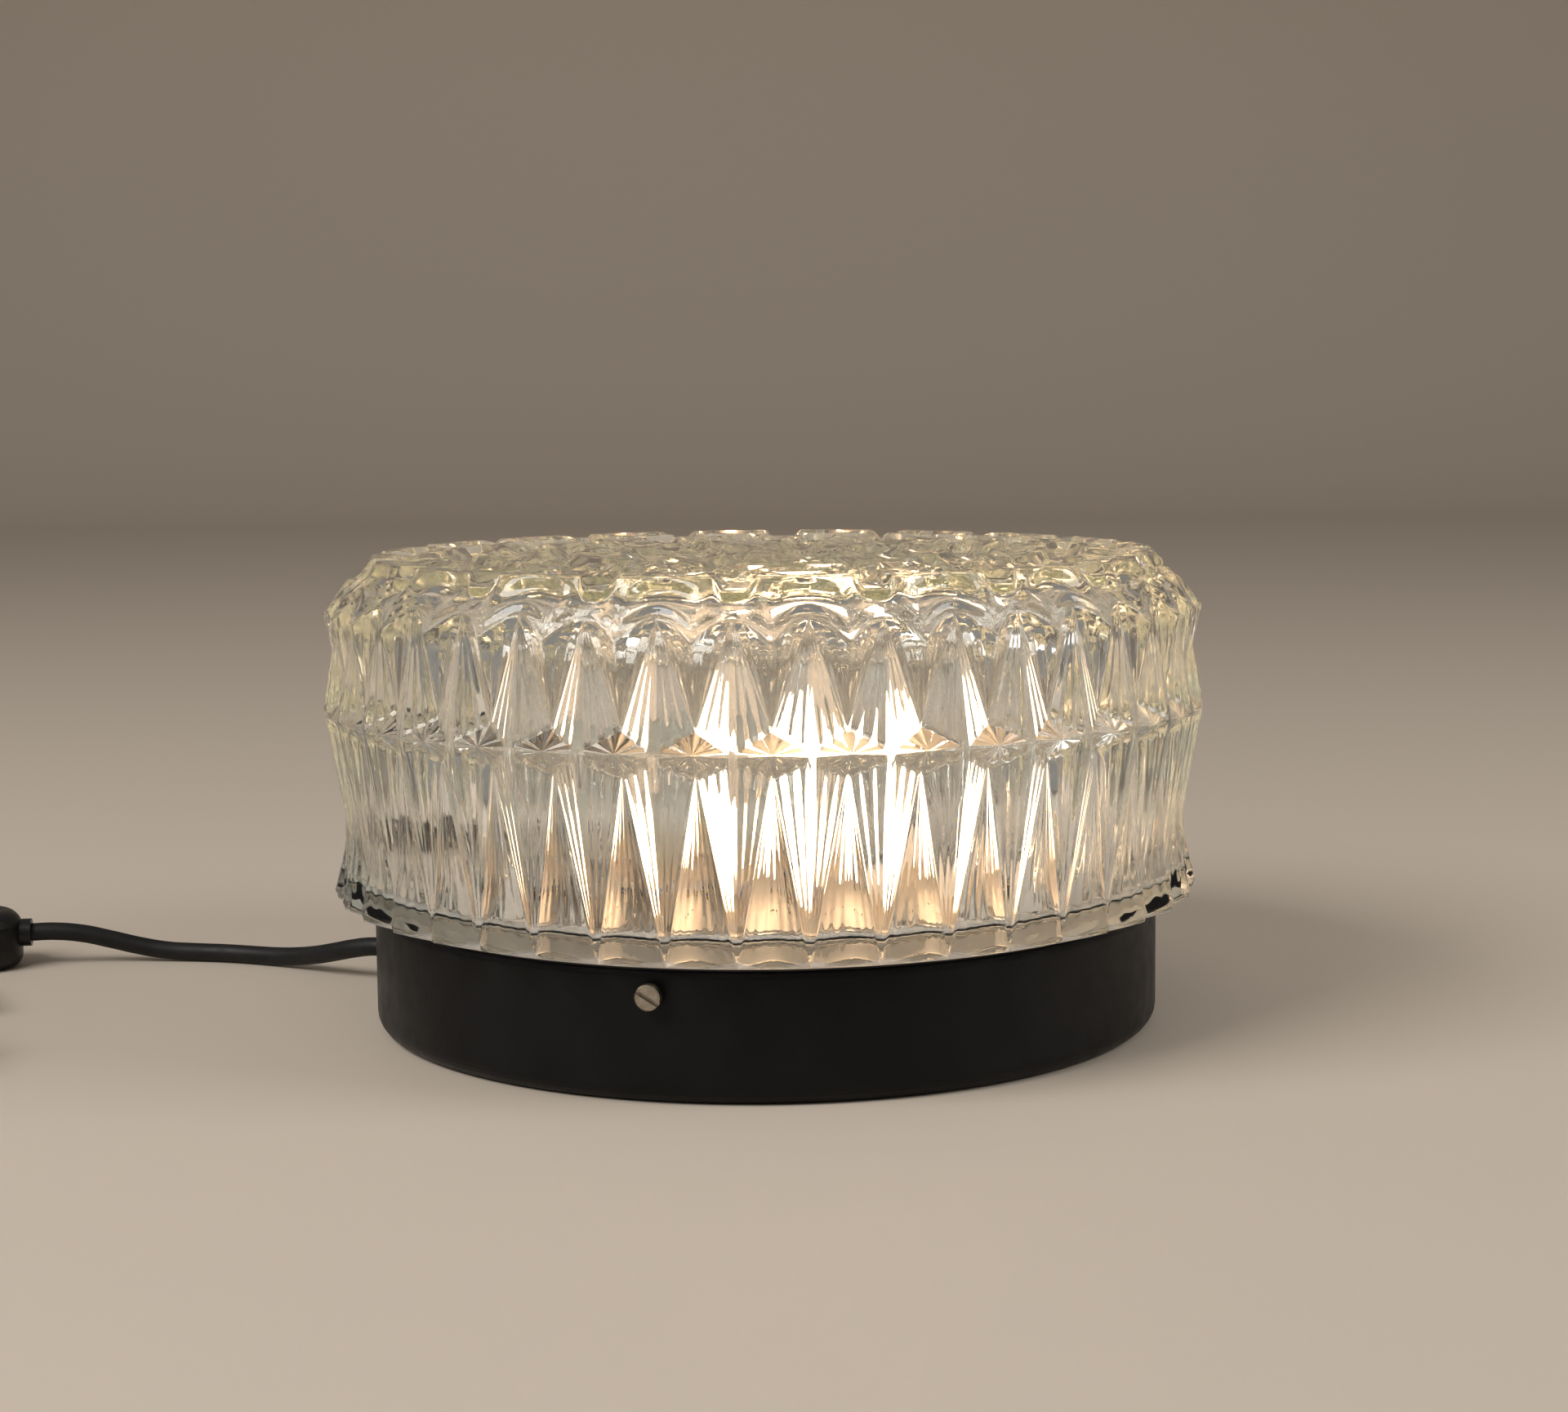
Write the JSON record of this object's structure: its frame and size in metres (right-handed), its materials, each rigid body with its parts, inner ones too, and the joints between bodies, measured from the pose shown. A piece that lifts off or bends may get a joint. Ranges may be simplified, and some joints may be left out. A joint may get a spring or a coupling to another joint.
{
  "type": "flush ceiling light",
  "caption": "Flush ceiling light with a faceted pressed-glass drum shade on a black steel pan, wired to a cord with an in-line switch and a plug.",
  "frame": {"origin": "Centre of the pan's back face, on the plane that the light stands on.", "axes": "+Z runs along the shade's axis from the pan to the top of the glass; -Y is the pictured side; the bulb points along +X."},
  "size_m": [0.469, 0.26, 0.139],
  "materials": {
    "clear_glass": "clear pressed glass with a faint yellow-green tint",
    "black_paint": "satin black enamel on steel",
    "plated_steel": "dull plated steel",
    "brass": "turned brass",
    "nickel": "nickel-plated brass",
    "white_ceramic": "white porcelain",
    "white_plastic": "ivory moulded resin",
    "frosted_glass": "thin glass, frosted inside, lit from within",
    "glowing_glass": "burner, lit warm white",
    "black_rubber": "matt black flexible sheath",
    "black_plastic": "black moulded plastic",
    "wire_brown": "brown insulation",
    "wire_blue": "blue insulation",
    "wire_green": "green and yellow insulation"
  },
  "bodies": {
    "base": {"base_pan": "black_paint", "seat_ring": "black_rubber", "clamp_nuts": "plated_steel", "holder_bracket": "plated_steel", "bracket_rivets": "plated_steel", "holder_nipple": "brass", "nipple_nut": "brass", "lampholder_cap": "white_plastic", "lampholder_core": "white_ceramic", "lampholder_shell": "brass", "lampholder_contact": "brass", "lampholder_sleeve": "white_plastic", "terminal_block": "white_ceramic", "terminal_tubes": "brass", "terminal_screws": "plated_steel", "block_screws": "plated_steel", "earth_tag": "brass", "earth_screw": "plated_steel", "cord_bush": "black_rubber", "clamp_base": "white_plastic", "clamp_bar": "white_plastic", "clamp_screws": "plated_steel", "cord_cores": "wire_brown", "lamp_wires": "wire_blue", "earth_wire": "wire_green", "cord_lead": "black_rubber", "switch_lower": "black_plastic", "switch_upper": "black_plastic", "switch_screws": "plated_steel", "cord_link": "black_rubber", "cord_coil": "black_rubber", "coil_tie": "black_rubber", "cord_tail": "black_rubber", "plug_body": "black_plastic", "plug_pins": "nickel", "plug_strips": "nickel"},
    "glass": {"glass_shade": "clear_glass"},
    "screw_1": {"glass_screw_1": "plated_steel"},
    "screw_2": {"glass_screw_2": "plated_steel"},
    "screw_3": {"glass_screw_3": "plated_steel"},
    "bulb": {"bulb_glass": "frosted_glass", "bulb_cap": "nickel", "bulb_contact": "nickel", "bulb_stem": "frosted_glass", "bulb_burner": "glowing_glass"},
    "rocker": {"switch_rocker": "black_plastic"}
  },
  "joints": [
    {"name": "glass_lift", "type": "slide", "parent": "base", "child": "glass", "axis": [0, 0, 1], "range_m": [0, 0.13]},
    {"name": "screw_1_travel", "type": "slide", "parent": "base", "child": "screw_1", "axis": [-0.2504, -0.9681, 0], "range_m": [-0.002, 0.004]},
    {"name": "screw_2_travel", "type": "slide", "parent": "base", "child": "screw_2", "axis": [0.9636, 0.2672, 0], "range_m": [-0.002, 0.004]},
    {"name": "screw_3_travel", "type": "slide", "parent": "base", "child": "screw_3", "axis": [-0.7133, 0.7009, 0], "range_m": [-0.002, 0.004]},
    {"name": "bulb_out", "type": "slide", "parent": "base", "child": "bulb", "axis": [1, 0, 0], "range_m": [0, 0.034]},
    {"name": "switch_rocker_tilt", "type": "hinge", "parent": "base", "child": "rocker", "pos_m": [-0.27322, 0.07125, 0.0165], "axis": [0.134, -0.991, 0], "range_deg": [-14, 0]}
  ]
}
